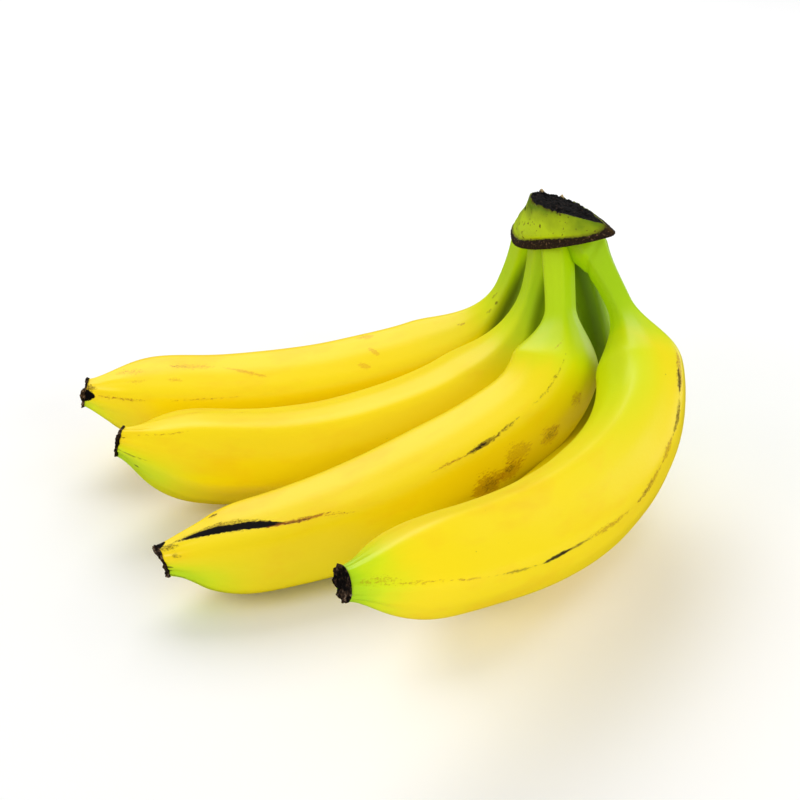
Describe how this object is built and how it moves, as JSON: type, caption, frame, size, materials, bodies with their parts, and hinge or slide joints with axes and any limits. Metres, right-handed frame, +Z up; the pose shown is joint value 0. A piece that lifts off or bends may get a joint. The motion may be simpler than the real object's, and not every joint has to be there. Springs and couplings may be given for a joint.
{
  "type": "bunch of bananas",
  "caption": "Ripe yellow bananas with green necks, joined at one cut crown and lying on their rounded undersides in a fan.",
  "frame": {"origin": "centre of the bounding box, on the surface that the bunch lies on", "axes": "+Z up from the surface; +Y from the tips in front towards the crown behind; +X to the side of the outermost curved banana"},
  "size_m": [0.2244, 0.247, 0.1059],
  "materials": {
    "banana_skin": "satin, waxy",
    "crown_skin": "matt",
    "dried_flower": "rough and dry"
  },
  "bodies": {
    "root": {"banana_1": "banana_skin", "banana_2": "banana_skin", "banana_3": "banana_skin", "banana_4": "banana_skin", "banana_5": "banana_skin", "crown": "crown_skin", "blossom_end_1": "dried_flower", "blossom_end_2": "dried_flower", "blossom_end_3": "dried_flower", "blossom_end_4": "dried_flower", "blossom_end_5": "dried_flower"}
  },
  "joints": []
}
